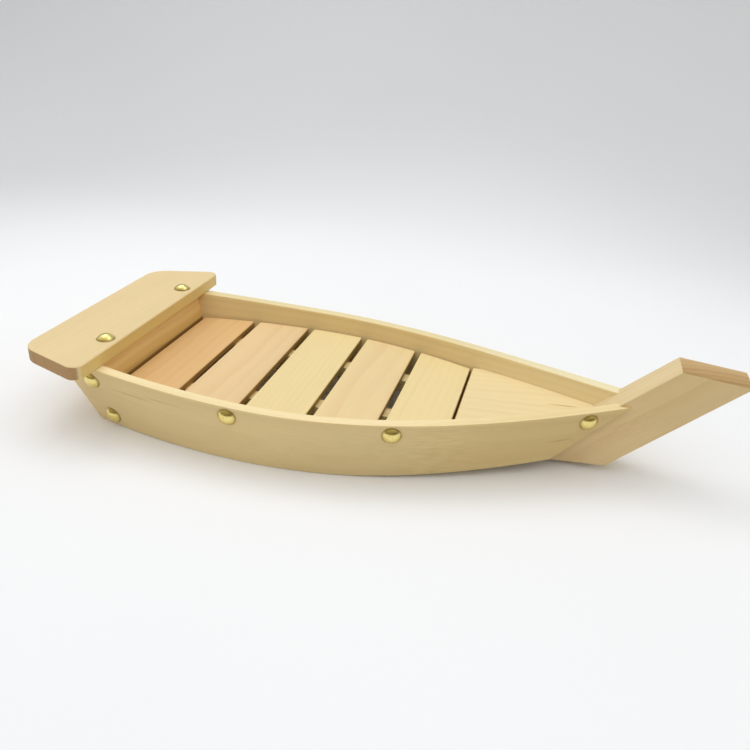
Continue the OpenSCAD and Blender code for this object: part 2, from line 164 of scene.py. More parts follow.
class WoodTones(bpy.types.PropertyGroup):
    """Tones of the boards, the metals and the floor."""
    plank: tone("Plank", "Starboard plank", paint(226, 201, 146))
    plank_port: tone("Port plank", "Port plank, from a paler log", paint(231, 206, 147))
    plank_late: tone("Plank late wood", "Darker growth lines of the planks", paint(205, 170, 112))
    plate: tone("Plate", "Stern plate", paint(234, 209, 157))
    plate_late: tone("Plate late wood", "Darker growth lines of the stern plate", paint(212, 176, 120))
    stem: tone("Stem", "Stem post", paint(228, 200, 148))
    stem_late: tone("Stem late wood", "Darker growth lines of the stem post", paint(196, 150, 92))
    transom: tone("Transom", "Transom", paint(243, 208, 140))
    transom_late: tone("Transom late wood", "Darker growth lines of the transom", paint(204, 158, 94))
    slat_red: tone("Reddish slat", "Slat next to the transom", paint(231, 189, 129))
    slat_pink: tone("Pinkish slat", "Second slat", paint(236, 205, 154))
    slat_straw: tone("Straw slat", "Third and fifth slats, and the battens", paint(239, 217, 159))
    slat_cream: tone("Cream slat", "Fourth slat", paint(237, 212, 158))
    slat_late: tone("Slat late wood", "Darker growth lines of slats and bow deck", paint(206, 160, 104))
    bow_deck: tone("Bow deck", "Bow deck", paint(240, 218, 165))
    inner: tone("Inner wood", "Ledges and beam", paint(206, 172, 118))
    inner_late: tone("Inner late wood", "Darker growth lines of the inner wood", paint(170, 126, 76))
    brass: tone("Brass", "Tacks", paint(240, 220, 142))
    # The aged brass also carries the painted shade in the tacks' rims
    brass_aged: tone("Aged brass", "Tarnish in the tacks' rims", paint(126, 108, 46))
    steel: tone("Steel", "Brads", paint(176, 176, 180))
    steel_aged: tone("Aged steel", "Dull spots on the brads", paint(110, 104, 98))
    floor: tone("Floor", "Pale floor", paint(248, 249, 250))


class StageLight(bpy.types.PropertyGroup):
    """Camera and light of the stage."""
    focal: ratio("Focal length", "Focal length of the camera, in pixels of its square picture", 745.7)
    yaw: angle("Yaw", "Turn of the camera from the +Y direction", -13.53)
    pitch: angle("Pitch", "Downward tilt of the camera", 26.54)
    roll: angle("Roll", "Roll of the camera", -3.57)
    place: bpy.props.FloatVectorProperty(
        name="Place", description="Place of the camera, from the transom's foot and the slats' upper faces",
        default=(0.2419, -0.4013, 0.2124), subtype="TRANSLATION", unit="LENGTH", size=3)
    left_power: ratio("Left power", "Power of the left overhead lamp, in watts", 2.7)
    right_power: ratio("Right power", "Power of the right overhead lamp, in watts", 1.0)
    zenith: ratio("Zenith", "Strength of the sky overhead", 1.08)
    left_sky: ratio("Left sky", "Strength of the sky low on the left", 0.55)
    right_sky: ratio("Right sky", "Strength of the sky low on the right", 0.2)
    seen_sky: ratio("Seen sky", "Strength of the sky where it is seen past the floor", 0.62)
    mirrored_front: ratio("Mirrored front", "Share of the sky on the camera's side that gloss mirrors", 0.5)
    mirrored_tone: tone("Mirrored tone", "Tone of the sky on the camera's side in gloss", (1.0, 0.84, 0.48))


class Web:
    """Adds nodes to a tree and joins them."""
    # Places of the share, the two colours and the result among a colour Mix node's sockets
    mix_inputs = (0, 6, 7)
    mix_output = 2

    def __init__(self, tree):
        self.tree = tree

    def put(self, slot, value):
        """Joins an input to a socket or a formula, or sets it to a plain value."""
        if isinstance(value, Formula):
            value = value.socket
        if isinstance(value, bpy.types.NodeSocket):
            self.tree.links.new(value, slot)
        else:
            slot.default_value = value

    def add(self, kind, given=None, **settings):
        """New node with its settings made, and then its inputs by their names."""
        node = self.tree.nodes.new(kind)
        for key, value in settings.items():
            setattr(node, key, value)
        for label, value in (given or {}).items():
            self.put(node.inputs[label], value)
        return node

    def fill(self, node, *terms):
        """Sets a node's inputs in their order and gives its outputs."""
        for slot, term in zip(node.inputs, terms):
            self.put(slot, term)
        return node.outputs

    def math(self, operation, *terms):
        return self.fill(self.add("ShaderNodeMath", operation=operation), *terms)[0]

    def vector(self, operation, *terms):
        results = self.fill(self.add("ShaderNodeVectorMath", operation=operation), *terms)
        return results["Value" if operation in ("LENGTH", "DOT_PRODUCT") else "Vector"]

    def ramp(self, value, low, high, start=0.0, end=1.0):
        node = self.add("ShaderNodeMapRange", interpolation_type="SMOOTHSTEP")
        return self.fill(node, value, low, high, start, end)[0]

    def mix(self, share, first, second, blend="MIX"):
        node = self.add("ShaderNodeMix", data_type="RGBA", blend_type=blend)
        for number, value in zip(self.mix_inputs, (share, first, second)):
            self.put(node.inputs[number], value)
        return node.outputs[self.mix_output]

    def tint(self, share, colour, tint):
        """Colour that is multiplied by a tint where the share is full."""
        return self.mix(share, colour, self.mix(1.0, colour, tint, "MULTIPLY"))

    def noise(self, place, scale, detail, output="Fac"):
        node = self.add("ShaderNodeTexNoise", {"Vector": place, "Scale": scale, "Detail": detail})
        return node.outputs[output]

    def stretched_noise(self, place, scales, detail, output="Fac"):
        """Noise with its own scale along each axis."""
        return self.noise(self.vector("MULTIPLY", place, scales), 1.0, detail, output)

    def coordinate(self, kind):
        return self.add("ShaderNodeTexCoord").outputs[kind]

    def parts(self, vector):
        return list(self.fill(self.add("ShaderNodeSeparateXYZ"), vector))

    def whole(self, x, y, z):
        return self.fill(self.add("ShaderNodeCombineXYZ"), x, y, z)[0]


class Formula:
    """Number inside a Geometry Nodes tree: plain arithmetic on it adds the tree's Math nodes."""

    def __init__(self, web, socket):
        self.web = web
        self.socket = socket

    def join(self, operation, *terms):
        return Formula(self.web, self.web.math(operation, *terms))

    def __add__(self, other):
        return self.join("ADD", self, other)

    def __sub__(self, other):
        return self.join("SUBTRACT", self, other)

    def __rsub__(self, other):
        return self.join("SUBTRACT", other, self)

    def __mul__(self, other):
        return self.join("MULTIPLY", self, other)

    def __truediv__(self, other):
        return self.join("DIVIDE", self, other)

    def __neg__(self):
        return self.join("MULTIPLY", self, -1.0)

    def __pow__(self, other):
        return self.join("POWER", self, other)

    __radd__ = __add__
    __rmul__ = __mul__


def either(operation, plain, *terms):
    """The same sum on numbers and on formulas of a tree."""
    for term in terms:
        if isinstance(term, Formula):
            return term.join(operation, *terms)
    return plain(*terms)


def larger(a, b):
    return either("MAXIMUM", max, a, b)


def smaller(a, b):
    return either("MINIMUM", min, a, b)


def cosine(a):
    return either("COSINE", math.cos, a)


def arc_cosine(a):
    return either("ARCCOSINE", math.acos, a)


def tangent(a):
    return either("TANGENT", math.tan, a)


def root(a):
    return either("SQRT", math.sqrt, a)


def beyond(a, b):
    return either("GREATER_THAN", lambda p, q: float(p > q), a, b)


def between(a, b, share):
    return a + (b - a) * share


def past(x, start, run):
    """Share of a run that lies behind x, and none before its start."""
    return larger((x - start) / run, 0.0)


def within(shares, half_sizes):
    """Place in a board, measured from its middle, of a point given by its shares of the board's sizes."""
    return [(share - 0.5) * (2.0 * half) for share, half in zip(shares, half_sizes)]


class Hull:
    """Shape of the hull, for numbers and for the formulas of a Geometry Nodes tree alike."""
    probe = 0.0002
    taper_power = 1.5
    corrections = 3
    halvings = 24

    def __init__(self, sizes):
        for name, value in sizes.items():
            setattr(self, name, value)

    def half_breadth(self, x):
        turn = arc_cosine(1.0 - self.stern_narrowing / self.wide_half)
        fore = cosine(past(x, self.wide_station, self.bow_run) * (math.pi / 2))
        aft = cosine(past(-x, -self.wide_station, self.wide_station) * turn)
        return self.wide_half * fore * aft

    def flare(self, x):
        fore = past(x, self.wide_station, self.bow_run) ** 2.0
        aft = past(-x, -self.wide_station, self.wide_station) ** 2.0
        return (self.flare_mid + (self.flare_bow - self.flare_mid) * fore
                + (self.flare_stern - self.flare_mid) * aft)

    def sheer(self, x):
        fore_run = self.wide_station + self.bow_run - self.sheer_station
        return (self.sheer_low + self.sheer_bow_rise * past(x, self.sheer_station, fore_run) ** 2.0
                + self.sheer_stern_rise * past(-x, -self.sheer_station, self.sheer_station) ** 2.0)

    def bottom(self, x):
        taper = self.plank_taper * past(x, self.wide_station, self.bow_run) ** self.taper_power
        gain = self.plank_gain * past(-x, -self.wide_station, self.wide_station) ** 2.0
        return self.sheer(x) - self.plank_height + taper - gain

    def top(self, x):
        """Top edge of a plank, which aft of the widest place ends under the stern plate."""
        return smaller(self.sheer(x), PLATE_SEAT + beyond(x, self.wide_station))

    def inner(self, x, z):
        return self.half_breadth(x) - self.flare(x) * (self.sheer(x) - z)

    def wall(self, x, z):
        """Thickness of a plank, measured straight across the boat."""
        slope = (self.inner(x + self.probe, z) - self.inner(x - self.probe, z)) / (2 * self.probe)
        return self.plank_thick * root(slope ** 2.0 + self.flare(x) ** 2.0 + 1.0)

    def outer(self, x, z):
        return self.inner(x, z) + self.wall(x, z)

    def transom_fore(self, z):
        return -(z + self.slat_thick) * self.transom_run

    def section_x(self, share, z, front):
        """Station of a slanted section, which leans with the tail aft and with the stem at the bow."""
        aft = 1.0 - share
        lean = share ** 3.0 / tangent(self.stem_rake) - self.plank_tail_lean * aft ** 3.0
        return between(-self.plank_tail, front, share) + lean * z

    def section_height(self, share, front, height):
        """Height at which a slanted section reaches an edge of the plank, by corrections."""
        x = self.section_x(share, 0.0, front)
        for _ in range(self.corrections):
            x = self.section_x(share, height(x), front)
        return height(x)

    def station(self, half, z):
        """Station at which the planks' inner faces are as far apart as wanted, by halving."""
        low, high = self.wide_station, self.wide_station + self.bow_run
        for _ in range(self.halvings):
            middle = (low + high) / 2
            if self.inner(middle, z) > half:
                low = middle
            else:
                high = middle
        return (low + high) / 2

    def out_of_face(self, side, x, z):
        """Outward direction of a plank's outer face."""
        along = (self.outer(x + self.probe, z) - self.outer(x - self.probe, z)) / (2 * self.probe)
        upward = (self.outer(x, z + self.probe) - self.outer(x, z - self.probe)) / (2 * self.probe)
        return Vector((-along, side, -upward)).normalized()


LINE_NAMES = list(HullLines.__annotations__)


def line_sizes():
    lines = bpy.context.scene.boat_lines
    return {name: getattr(lines, name) for name in LINE_NAMES}


def placed(x, y, z):
    """Point of the part from a station, a breadth and a height above the slats."""
    return Vector((x + TRANSOM_X, y, z + DECK_Z))


def new_object(name, data):
    holder = bpy.data.objects.new(name, data)
    bpy.context.scene.collection.objects.link(holder)
    return holder


def smooth_mesh(name, shape):
    """Smooth mesh from a bmesh, which is freed."""
    mesh = bpy.data.meshes.new(name)
    shape.to_mesh(mesh)
    shape.free()
    mesh.shade_smooth()
    return mesh


def new_tree(name, inputs):
    """Geometry Nodes tree with named inputs; gives its web, its input node and the inputs' identifiers."""
    tree = bpy.data.node_groups.new(name, "GeometryNodeTree")
    tree.is_modifier = True
    tree.interface.new_socket("Geometry", in_out="OUTPUT", socket_type="NodeSocketGeometry")
    slots = {}
    for label, kind, default in inputs:
        slot = tree.interface.new_socket(label, in_out="INPUT", socket_type="NodeSocket" + kind)
        slots[label] = slot.identifier
        if default is not None:
            slot.default_value = default
    return Web(tree), tree.nodes.new("NodeGroupInput"), slots


def end_tree(web, entry, geometry):
    """Closes a tree with Realize Instances and Set Material."""
    real = web.add("GeometryNodeRealizeInstances", {"Geometry": geometry})
    coat = web.add("GeometryNodeSetMaterial",
                   {"Geometry": real.outputs["Geometry"], "Material": entry.outputs["Finish"]})
    web.fill(web.add("NodeGroupOutput"), coat.outputs["Geometry"])


def grown(name, tree, slots, values, source=None):
    """Plain mesh object made by a Geometry Nodes tree with its inputs set by their identifiers."""
    piece = new_object(name, source or bpy.data.meshes.new(name + " start"))
    modifier = piece.modifiers.new("Shape", "NODES")
    modifier.node_group = tree
    for label, value in values.items():
        modifier[slots[label]] = value
    graph = bpy.context.evaluated_depsgraph_get()
    graph.update()
    mesh = bpy.data.meshes.new_from_object(
        piece.evaluated_get(graph), preserve_all_data_layers=True, depsgraph=graph)
    piece.modifiers.remove(modifier)
    piece.data = mesh
    mesh.name = name
    if not mesh.polygons:
        raise RuntimeError(name + " came out empty")
    return piece


def ease(piece, width, turn=35, segments=3):
    """Sanded round on the edges of a board that turn by more than some degrees."""
    bevel = piece.modifiers.new("Eased edges", "BEVEL")
    bevel.width = width
    bevel.segments = segments
    bevel.limit_method = "ANGLE"
    bevel.angle_limit = math.radians(turn)
    bevel.harden_normals = True
    return piece


def seat(piece, body, slot, *nodes):
    """Lets a piece ride on its body in place of its nodes of the frame."""
    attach(piece, body)
    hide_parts(*nodes)


def dress(name, material):
    """Gives a node of the frame its finish."""
    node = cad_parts[name]
    node.data.materials.clear()
    node.data.materials.append(material)


class Grower:
    """Geometry Nodes tree of one kind of board: a block of quads whose points follow the hull's formulas."""

    def __init__(self, name, own_sizes, points):
        self.sizes = {**line_sizes(), **own_sizes}
        inputs = [(size, "Float", value) for size, value in self.sizes.items()]
        self.web, self.entry, self.slots = new_tree(name, inputs + [("Finish", "Material", None)])
        self.given = {size: Formula(self.web, self.entry.outputs[size]) for size in self.sizes}
        self.hull = Hull(self.given)
        counts = {"Vertices " + axis: count for axis, count in zip("XYZ", points)}
        self.block = self.web.add("GeometryNodeMeshCube", {"Size": (1, 1, 1), **counts})
        position = self.web.add("GeometryNodeInputPosition").outputs[0]
        self.shares = [Formula(self.web, part) + 0.5 for part in self.web.parts(position)]

    def close(self, board, place):
        """Keeps the place within the board as an attribute, moves the points and ends the tree."""
        web = self.web
        keep = web.add("GeometryNodeStoreNamedAttribute",
                       {"Geometry": self.block.outputs["Mesh"], "Name": "board", "Value": web.whole(*board)},
                       data_type="FLOAT_VECTOR", domain="POINT")
        x, y, z = place
        move = web.add("GeometryNodeSetPosition", {"Geometry": keep.outputs["Geometry"],
                                                   "Position": web.whole(x + TRANSOM_X, y, z + DECK_Z)})
        smooth = web.add("GeometryNodeSetShadeSmooth", {"Geometry": move.outputs["Geometry"]})
        end_tree(web, self.entry, smooth.outputs["Geometry"])

    def make(self, node, body, slot, edge, finish, **changed):
        """Grows the board of one node with its own sizes, eases its edges and seats it."""
        values = {**self.sizes, **changed, "Finish": finish}
        piece = grown(node + "_board", self.web.tree, self.slots, values)
        ease(piece, edge)
        seat(piece, body, slot, node)


def new_group(name, inputs, outputs):
    """Shader node group with named sockets; gives the group, its web, its inputs by name and its end."""
    group = bpy.data.node_groups.new(name, "ShaderNodeTree")
    for label, kind, default in inputs:
        slot = group.interface.new_socket(label, in_out="INPUT", socket_type="NodeSocket" + kind)
        slot.default_value = default
    for label, kind in outputs:
        group.interface.new_socket(label, in_out="OUTPUT", socket_type="NodeSocket" + kind)
    entry = group.nodes.new("NodeGroupInput")
    leave = group.nodes.new("NodeGroupOutput")
    return group, Web(group), {slot.name: slot for slot in entry.outputs if slot.name}, leave


class Grain:
    """Numbers of the wood's grain; its scales are per metre along, across and through a board."""
    wander_scales = (7, 26, 26)
    wander_reach = (0, 0.008, 0.008)
    fibre_scales = (45, 2100, 2100)
    pore_scales = (150, 4200, 4200)
    cloud_scales = (6, 30, 30)
    # Shares of a year's ring over which late wood darkens and ends
    late_starts = (0.3, 0.9)
    late_ends = (0.93, 1.0)
    faintest_year = 0.35
    pore_limits = (0.66, 0.74)
    pore_shade = -0.05
    # How squarely a face looks along the fibres before it gets the end grain's tone, or to the side before it
    # gets a tint of painted light or shade
    end_facing = (0.5, 0.8)
    side_facing = (0.8, 0.98)
    end_rings = 0.3
    rubbed_scale = 160.0
    rubbed_uneven = 0.0018
    rubbed_reach = (0.0009, 0.0024)
    rubbed_share = 0.35
    rubbed_tint = (1.16, 1.13, 1.06, 1)
    rough = 0.56
    rough_fibre = 0.16
    rough_end = 0.14
    rough_rubbed = -0.12
    relief_ring = 0.35
    relief_fibre = 0.5
    relief_pore = -0.5
    relief = 0.35
    relief_depth = 0.0003
    specular = 0.35
    # Ragged edge of a streak, and the share of its reach that is full
    streak_scales = (120, 900, 900)
    streak_ragged = 0.8
    streak_core = 0.35
    # How squarely a face looks to the bow before it takes a shade at its foot
    bow_facing = (0.3, 0.8)


def wood_grain():
    """Solid grain: growth rings about a heart line, fibres, pores, clouds, end grain and rubbed edges."""
    if "Wood grain" in bpy.data.node_groups:
        return bpy.data.node_groups["Wood grain"]
    white = (1, 1, 1, 1)
    group, web, given, leave = new_group(
        "Wood grain",
        [("Board", "Vector", (0, 0, 0)), ("Half size", "Vector", (1, 1, 1)), ("Heart", "Vector", (0, 0, 0)),
         ("Pale", "Color", white), ("Late", "Color", white), ("Ring width", "Float", 0.003),
         ("Ring strength", "Float", 0.3), ("Fibre strength", "Float", 0.1), ("Cloud strength", "Float", 0.12),
         ("End tone", "Color", white), ("Fibre", "Vector", (0, 1, 0)),
         ("Side", "Vector", (1, 0, 0)), ("Side tone", "Color", white)],
        [("Color", "Color"), ("Roughness", "Float"), ("Height", "Float")])
    board = given["Board"]
    drawn = web.vector("ADD", board, given["Heart"])
    wander = web.stretched_noise(drawn, Grain.wander_scales, detail=2.0, output="Color")
    wander = web.vector("MULTIPLY", web.vector("SUBTRACT", wander, (0.5, 0.5, 0.5)), Grain.wander_reach)
    heart = web.vector("MULTIPLY", web.vector("ADD", drawn, wander), (0, 1, 1))
    phase = web.math("DIVIDE", web.vector("LENGTH", heart), given["Ring width"])
    year = web.math("FRACT", phase)
    chance = web.add("ShaderNodeTexWhiteNoise", {"W": web.math("FLOOR", phase)}, noise_dimensions="1D")
    late = web.math("SUBTRACT", web.ramp(year, *Grain.late_starts), web.ramp(year, *Grain.late_ends))
    late = web.math("MULTIPLY", late, web.ramp(chance.outputs["Value"], 0.0, 1.0, Grain.faintest_year, 1.0))
    fibre = web.stretched_noise(drawn, Grain.fibre_scales, detail=3.0)
    uneven_fibre = web.math("SUBTRACT", fibre, 0.5)
    pore = web.ramp(web.stretched_noise(drawn, Grain.pore_scales, detail=1.0), *Grain.pore_limits)
    cloud = web.math("SUBTRACT", web.stretched_noise(drawn, Grain.cloud_scales, detail=1.0), 0.5)
    shade = web.math("MULTIPLY_ADD", uneven_fibre, given["Fibre strength"], 1.0)
    shade = web.math("MULTIPLY_ADD", cloud, given["Cloud strength"], shade)
    shade = web.math("MULTIPLY_ADD", pore, Grain.pore_shade, shade)
    normal = web.coordinate("Normal")
    facing = web.math("ABSOLUTE", web.vector("DOT_PRODUCT", normal, given["Fibre"]))
    end = web.ramp(facing, *Grain.end_facing)
    facing = web.math("ABSOLUTE", web.vector("DOT_PRODUCT", normal, given["Side"]))
    side = web.ramp(facing, *Grain.side_facing)
    rings = web.math("MULTIPLY", late, web.math("MULTIPLY_ADD", end, Grain.end_rings, given["Ring strength"]))
    colour = web.mix(rings, given["Pale"], given["Late"])
    colour = web.mix(1.0, colour, shade, "MULTIPLY")
    colour = web.tint(end, colour, given["End tone"])
    # Faces that look to the side get painted light where the tint is above one and painted shade where it is
    # below
    colour = web.tint(side, colour, given["Side tone"])
    # The middle one of the ways left to the board's faces is small only along its edges
    left = web.vector("SUBTRACT", given["Half size"], web.vector("ABSOLUTE", board))
    end_left, width_left, depth_left = web.parts(left)
    least = web.math("MINIMUM", end_left, web.math("MINIMUM", width_left, depth_left))
    most = web.math("MAXIMUM", end_left, web.math("MAXIMUM", width_left, depth_left))
    total = web.math("ADD", end_left, web.math("ADD", width_left, depth_left))
    middle = web.math("SUBTRACT", total, web.math("ADD", least, most))
    uneven = web.math("MULTIPLY", web.noise(drawn, Grain.rubbed_scale, detail=2.0), Grain.rubbed_uneven)
    rubbed = web.ramp(web.math("ADD", middle, uneven), *Grain.rubbed_reach, 1.0, 0.0)
    rubbed = web.math("MULTIPLY", rubbed, Grain.rubbed_share)
    rough = web.math("MULTIPLY_ADD", uneven_fibre, Grain.rough_fibre, Grain.rough)
    rough = web.math("MULTIPLY_ADD", end, Grain.rough_end, rough)
    grooves = web.math("MULTIPLY", fibre, Grain.relief_fibre)
    height = web.math("MULTIPLY_ADD", late, Grain.relief_ring, grooves)
    web.put(leave.inputs["Color"], web.tint(rubbed, colour, Grain.rubbed_tint))
    web.put(leave.inputs["Roughness"], web.math("MULTIPLY_ADD", rubbed, Grain.rough_rubbed, rough))
    web.put(leave.inputs["Height"], web.math("MULTIPLY_ADD", pore, Grain.relief_pore, height))
    return group


def new_material(name):
    """Empty node material; gives the material, its web and its shader."""
    material = bpy.data.materials.new(name)
    material.use_nodes = True
    return material, Web(material.node_tree), material.node_tree.nodes["Principled BSDF"]


def roughen(web, shader, effect, relief, depth):
    """Joins a group's roughness and height to a shader."""
    web.put(shader.inputs["Roughness"], effect.outputs["Roughness"])
    bump = web.add("ShaderNodeBump",
                   {"Strength": relief, "Distance": depth, "Height": effect.outputs["Height"]})
    web.put(shader.inputs["Normal"], bump.outputs["Normal"])


def wood(name, pale, late, half_size, heart, ring_width=0.003, rings=0.15, fibres=0.07, clouds=0.1,
         end_tone=(0.87, 0.79, 0.9), fibre=(0, 1, 0), side=(1, 0, 0), side_tone=(1, 1, 1),
         turned=None, marks=()):
    """Oiled wood. Heart is the way from the heart line of the log to the middle of the board. The grain
    follows the board attribute, or Object coordinates about a centre and a turn."""
    material, web, shader = new_material(name)
    if turned is None:
        source = web.add("ShaderNodeAttribute", attribute_name="board").outputs["Vector"]
    else:
        centre, turn = turned
        mapping = web.add("ShaderNodeMapping", {"Vector": web.coordinate("Object"), "Location": centre,
                                                "Rotation": turn}, vector_type="TEXTURE")
        source = mapping.outputs["Vector"]
    values = {"Board": source, "Half size": half_size, "Heart": heart, "Pale": (*pale, 1), "Late": (*late, 1),
              "Ring width": ring_width, "Ring strength": rings, "Fibre strength": fibres,
              "Cloud strength": clouds, "End tone": (*end_tone, 1), "Fibre": fibre, "Side": side,
              "Side tone": (*side_tone, 1)}
    grain = web.add("ShaderNodeGroup", values, node_tree=wood_grain())
    colour = grain.outputs["Color"]
    for make in marks:
        colour = make(web, source, colour)
    web.put(shader.inputs["Base Color"], colour)
    shader.inputs["Specular IOR Level"].default_value = Grain.specular
    roughen(web, shader, grain, Grain.relief, Grain.relief_depth)
    return material


def streak(centre, reach, tint):
    """Streak of another tone: a long drop about a place in the board, with a ragged edge."""
    def make(web, place, colour):
        away = web.vector("DIVIDE", web.vector("SUBTRACT", place, centre), reach)
        ragged = web.stretched_noise(place, Grain.streak_scales, detail=2.0)
        ragged = web.math("MULTIPLY_ADD", ragged, Grain.streak_ragged, -Grain.streak_ragged / 2)
        far = web.math("ADD", web.vector("LENGTH", away), ragged)
        return web.tint(web.ramp(far, Grain.streak_core, 1.0, 1.0, 0.0), colour, (*tint, 1))
    return make


def low_shade(low, high, tint):
    """Shade on a face that looks to the bow, full at a low height above the table and gone at a high one."""
    def make(web, place, colour):
        deep = web.ramp(web.parts(web.coordinate("Object"))[2], low, high, 1.0, 0.0)
        facing = web.ramp(web.parts(web.coordinate("Normal"))[0], *Grain.bow_facing)
        return web.tint(web.math("MULTIPLY", deep, facing), colour, (*tint, 1))
    return make


class Tarnish:
    """Numbers of the aged metals; their scales are per metre."""
    spot_scale = 900.0
    spot_limits = (0.5, 0.72)
    spot_age = 0.22
    dent_scale = 700.0
    scratch_scales = (900, 5200, 2600)
    scratch_limits = (0.62, 0.7)
    rough_aged = 0.3
    rough_scratch = 0.12
    relief_scratch = -0.2
    relief = 0.12
    relief_depth = 0.0002


def aged_metal():
    """Tone and gloss of a handled metal: tarnished spots, a darker tone with painted shade where it lies low,
    fine scratches and small dents.
    """
    if "Aged metal" in bpy.data.node_groups:
        return bpy.data.node_groups["Aged metal"]
    group, web, given, leave = new_group(
        "Aged metal",
        [("Bright", "Color", (1, 1, 1, 1)), ("Aged", "Color", (0, 0, 0, 1)), ("Low", "Float", 0.0),
         ("Gloss", "Float", 0.25)],
        [("Color", "Color"), ("Roughness", "Float"), ("Height", "Float")])
    place = web.coordinate("Object")
    spots = web.ramp(web.noise(place, Tarnish.spot_scale, detail=3.0), *Tarnish.spot_limits)
    dents = web.noise(place, Tarnish.dent_scale, detail=1.0)
    scratches = web.stretched_noise(place, Tarnish.scratch_scales, detail=2.0)
    scratches = web.ramp(scratches, *Tarnish.scratch_limits)
    age = web.math("MAXIMUM", given["Low"], web.math("MULTIPLY", spots, Tarnish.spot_age))
    rough = web.math("MULTIPLY_ADD", age, Tarnish.rough_aged, given["Gloss"])
    web.put(leave.inputs["Color"], web.mix(age, given["Bright"], given["Aged"]))
    web.put(leave.inputs["Roughness"], web.math("MULTIPLY_ADD", scratches, Tarnish.rough_scratch, rough))
    web.put(leave.inputs["Height"], web.math("MULTIPLY_ADD", scratches, Tarnish.relief_scratch, dents))
    return group


def metal(name, bright, aged, gloss, low_attribute=None):
    """Bare metal whose darker tone, tarnished and with painted shade, follows the named attribute."""
    material, web, shader = new_material(name)
    values = {"Bright": (*bright, 1), "Aged": (*aged, 1), "Gloss": gloss}
    if low_attribute:
        values["Low"] = web.add("ShaderNodeAttribute", attribute_name=low_attribute).outputs["Fac"]
    age = web.add("ShaderNodeGroup", values, node_tree=aged_metal())
    web.put(shader.inputs["Base Color"], age.outputs["Color"])
    shader.inputs["Metallic"].default_value = 1.0
    roughen(web, shader, age, Tarnish.relief, Tarnish.relief_depth)
    return material


def set_board(mesh, rule):
    """Keeps each point's place within its board: along the fibres, across them and through the thickness."""
    layer = mesh.attributes.new("board", "FLOAT_VECTOR", "POINT")
    layer.data.foreach_set("vector", [part for vertex in mesh.vertices for part in rule(vertex.co)])


def half_of(node, order):
    """Half the size of a node of the frame, with its axes in the order along, across and through."""
    low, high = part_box(node)
    return tuple((high[axis] - low[axis]) / 2 for axis in order)


class BOAT_OT_planks(bpy.types.Operator):
    """Bent side planks that lean with the transom, rise to the bow and land in the stem's rabbets"""
    bl_idname = "serving_boat.planks"
    bl_label = "Side planks"
    points = (150, 4, 12)
    # Way to the heart of the log, tint of the painted highlight on the top edge, and tint towards the bow:
    # painted light on the port plank, painted shade on the starboard one
    port_look = ((0.4, 0.06, 0.034), (1.06, 1.16, 1.36), (1.03, 1.08, 1.2))
    starboard_look = ((0.1, 0.004, 0.042), (1.27, 1.36, 1.56), (0.91, 0.885, 0.8))
    bow_reach = (0.115, 0.2, 0.2)
    # Streaks of the starboard plank: centre, reach and tint
    streaks = [((0.03, -0.014, 0), (0.08, 0.03, 0.2), (0.93, 0.93, 0.92)),
               ((-0.104, 0.0088, 0), (0.022, 0.0011, 0.01), (0.86, 0.82, 0.76)),
               ((-0.083, 0.0109, 0), (0.026, 0.0009, 0.01), (0.88, 0.85, 0.8)),
               ((0.138, -0.0018, 0), (0.009, 0.0013, 0.01), (0.84, 0.8, 0.74))]

    def execute(self, context):
        tones = context.scene.boat_tones
        boards = context.scene.boat_boards
        hull = Hull(line_sizes())
        front = hull.station(boards.stem_core / 2, 0.0)
        grower = Grower("Side plank", {"side": PORT, "front": front, "table": -DECK_Z}, self.points)
        shape, given = grower.hull, grower.given
        along, through, upward = grower.shares
        depth = (through - 0.5) * given["side"] + 0.5
        low = larger(shape.section_height(along, given["front"], shape.bottom), given["table"])
        high = shape.section_height(along, given["front"], shape.top)
        z = between(low, high, upward)
        x = shape.section_x(along, z, given["front"])
        y = (shape.inner(x, z) + shape.wall(x, z) * depth) * given["side"]
        half = ((front + hull.plank_tail) / 2, hull.plank_height / 2, hull.plank_thick / 2)
        grower.close(within((along, upward, depth), half), (x, y, z))
        planks = [("port_plank", PORT, tones.plank_port, self.port_look, []),
                  ("starboard_plank", STARBOARD, tones.plank, self.starboard_look, self.streaks)]
        for name, hand, pale, (heart, top_tint, bow_light_tint), streaks in planks:
            marks = [streak((half[0], 0, 0), self.bow_reach, bow_light_tint)] + [streak(*row) for row in streaks]
            finish = wood(name + "_wood", pale, tones.plank_late, half, heart, ring_width=0.0046, rings=0.2,
                          fibre=(1, 0, 0), side=(0, 0, 1), side_tone=top_tint, marks=marks)
            grower.make(name, "hull", "plank_wood", boards.eased_edge, finish, side=hand)
        return {"FINISHED"}


